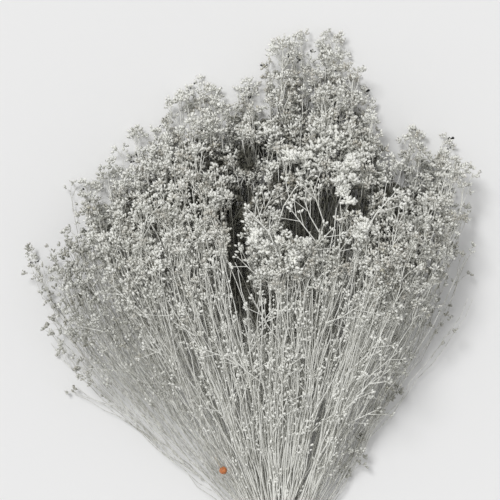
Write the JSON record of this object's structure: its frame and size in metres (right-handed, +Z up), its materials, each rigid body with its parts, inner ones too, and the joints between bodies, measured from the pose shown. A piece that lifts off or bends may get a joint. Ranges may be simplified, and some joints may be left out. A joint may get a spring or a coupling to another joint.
{
  "type": "dried broom bloom bunch",
  "caption": "Tied bunch of dried, frosted grey-white broom bloom lying flat, with wiry stems fanning out from an elastic band into sprays of tiny clustered buds.",
  "frame": {"origin": "under the elastic band, in the middle of its flat underside, on the surface that the bunch lies on", "axes": "+Y along the stems from the band towards the blooms, +Z up from the surface, +X to the right seen from above"},
  "size_m": [0.3816, 0.5266, 0.1195],
  "materials": {
    "dried_stem": "matte dried plant, pale grey with whitish frosted buds",
    "band_rubber": "tan elastic rubber",
    "seed_skin": "dry orange seed skin, low sheen"
  },
  "bodies": {
    "root": {"stem_row1_1": "dried_stem", "stem_row1_2": "dried_stem", "stem_row1_3": "dried_stem", "stem_row1_4": "dried_stem", "stem_row1_5": "dried_stem", "stem_row1_6": "dried_stem", "stem_row1_7": "dried_stem", "stem_row2_1": "dried_stem", "stem_row2_2": "dried_stem", "stem_row2_3": "dried_stem", "stem_row2_4": "dried_stem", "stem_row2_5": "dried_stem", "stem_row2_6": "dried_stem", "stem_row2_7": "dried_stem", "stem_row2_8": "dried_stem", "stem_row3_1": "dried_stem", "stem_row3_2": "dried_stem", "stem_row3_3": "dried_stem", "stem_row3_4": "dried_stem", "stem_row3_5": "dried_stem", "stem_row3_6": "dried_stem", "stem_row3_7": "dried_stem", "stem_row4_1": "dried_stem", "stem_row4_2": "dried_stem", "stem_row4_3": "dried_stem", "stem_row4_4": "dried_stem", "stem_row4_5": "dried_stem", "stem_row4_6": "dried_stem", "stem_row5_1": "dried_stem", "stem_row5_2": "dried_stem", "stem_row5_3": "dried_stem", "stem_row5_4": "dried_stem", "stem_row5_5": "dried_stem", "elastic_band": "band_rubber", "seed_ball": "seed_skin"}
  },
  "joints": []
}
